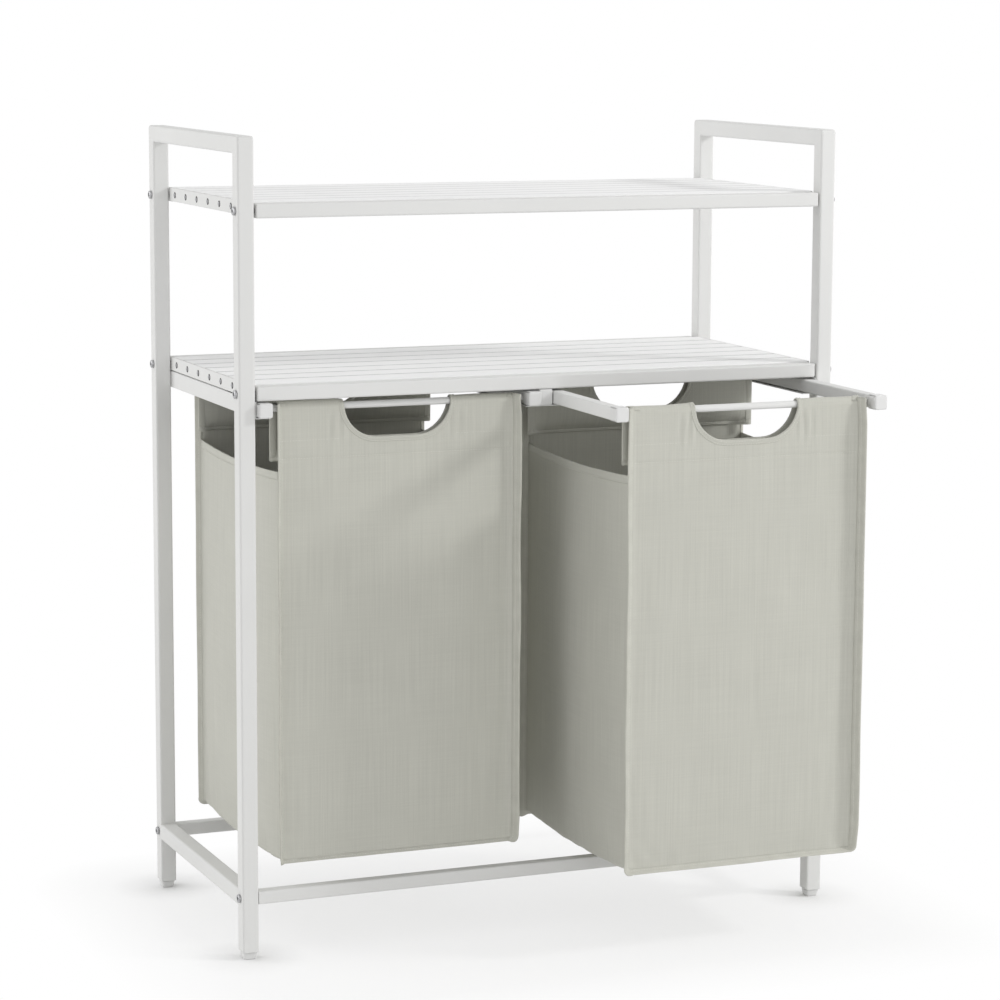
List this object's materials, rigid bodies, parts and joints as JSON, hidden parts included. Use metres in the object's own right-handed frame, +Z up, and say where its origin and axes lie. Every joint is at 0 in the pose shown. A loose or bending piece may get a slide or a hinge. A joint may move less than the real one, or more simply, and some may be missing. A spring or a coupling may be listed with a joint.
{
  "type": "laundry hamper",
  "caption": "Laundry hamper with slatted shelves on a square tube frame and fabric bags that slide out on rails under the lower shelf.",
  "frame": {"origin": "on the floor, below the middle of the box round the whole hamper with its right bag pulled out as in the picture", "axes": "+X to the right, +Y to the back, +Z up, seen by someone standing in front of the bags"},
  "size_m": [0.7362, 0.513, 0.92],
  "materials": {
    "painted_steel": "white powder coat, satin",
    "painted_board": "white painted board, satin",
    "white_plastic": "white moulded plastic, fine grain",
    "bolt_steel": "zinc plated",
    "bag_fabric": "light grey woven cloth with a linen-like slub"
  },
  "bodies": {
    "frame": {"left_side_frame": "painted_steel", "right_side_frame": "painted_steel", "front_left_foot": "white_plastic", "front_right_foot": "white_plastic", "rear_left_foot": "white_plastic", "rear_right_foot": "white_plastic", "upper_shelf_front_tube": "painted_steel", "upper_shelf_rear_tube": "painted_steel", "upper_shelf_left_plate": "painted_steel", "upper_shelf_right_plate": "painted_steel", "upper_shelf_slat_1": "painted_board", "upper_shelf_slat_2": "painted_board", "upper_shelf_slat_3": "painted_board", "upper_shelf_slat_4": "painted_board", "upper_shelf_slat_5": "painted_board", "upper_shelf_slat_6": "painted_board", "upper_shelf_slat_7": "painted_board", "lower_shelf_front_tube": "painted_steel", "lower_shelf_rear_tube": "painted_steel", "lower_shelf_left_plate": "painted_steel", "lower_shelf_right_plate": "painted_steel", "lower_shelf_slat_1": "painted_board", "lower_shelf_slat_2": "painted_board", "lower_shelf_slat_3": "painted_board", "lower_shelf_slat_4": "painted_board", "lower_shelf_slat_5": "painted_board", "lower_shelf_slat_6": "painted_board", "lower_shelf_slat_7": "painted_board", "bottom_front_rail": "painted_steel", "bottom_rear_rail": "painted_steel", "upper_front_left_bolt": "bolt_steel", "upper_front_right_bolt": "bolt_steel", "upper_rear_left_bolt": "bolt_steel", "upper_rear_right_bolt": "bolt_steel", "lower_front_left_bolt": "bolt_steel", "lower_front_right_bolt": "bolt_steel", "lower_rear_left_bolt": "bolt_steel", "lower_rear_right_bolt": "bolt_steel", "bottom_front_left_bolt": "bolt_steel", "bottom_front_right_bolt": "bolt_steel", "bottom_rear_left_bolt": "bolt_steel", "bottom_rear_right_bolt": "bolt_steel", "left_slide_rail": "painted_steel", "right_slide_rail": "painted_steel", "centre_slide_rail": "painted_steel", "centre_rail_plug": "white_plastic"},
    "left_bag": {"left_bag_left_arm": "painted_steel", "left_bag_left_cap": "white_plastic", "left_bag_right_arm": "painted_steel", "left_bag_right_cap": "white_plastic", "left_bag_front_rod": "painted_steel", "left_bag_rear_rod": "painted_steel", "left_bag_fabric": "bag_fabric"},
    "right_bag": {"right_bag_left_arm": "painted_steel", "right_bag_left_cap": "white_plastic", "right_bag_right_arm": "painted_steel", "right_bag_right_cap": "white_plastic", "right_bag_front_rod": "painted_steel", "right_bag_rear_rod": "painted_steel", "right_bag_fabric": "bag_fabric"}
  },
  "joints": [
    {"name": "left_bag_slide", "type": "slide", "parent": "frame", "child": "left_bag", "axis": [0, -1, 0], "range_m": [0, 0.21]},
    {"name": "right_bag_slide", "type": "slide", "parent": "frame", "child": "right_bag", "axis": [0, -1, 0], "range_m": [-0.165, 0.045]}
  ]
}
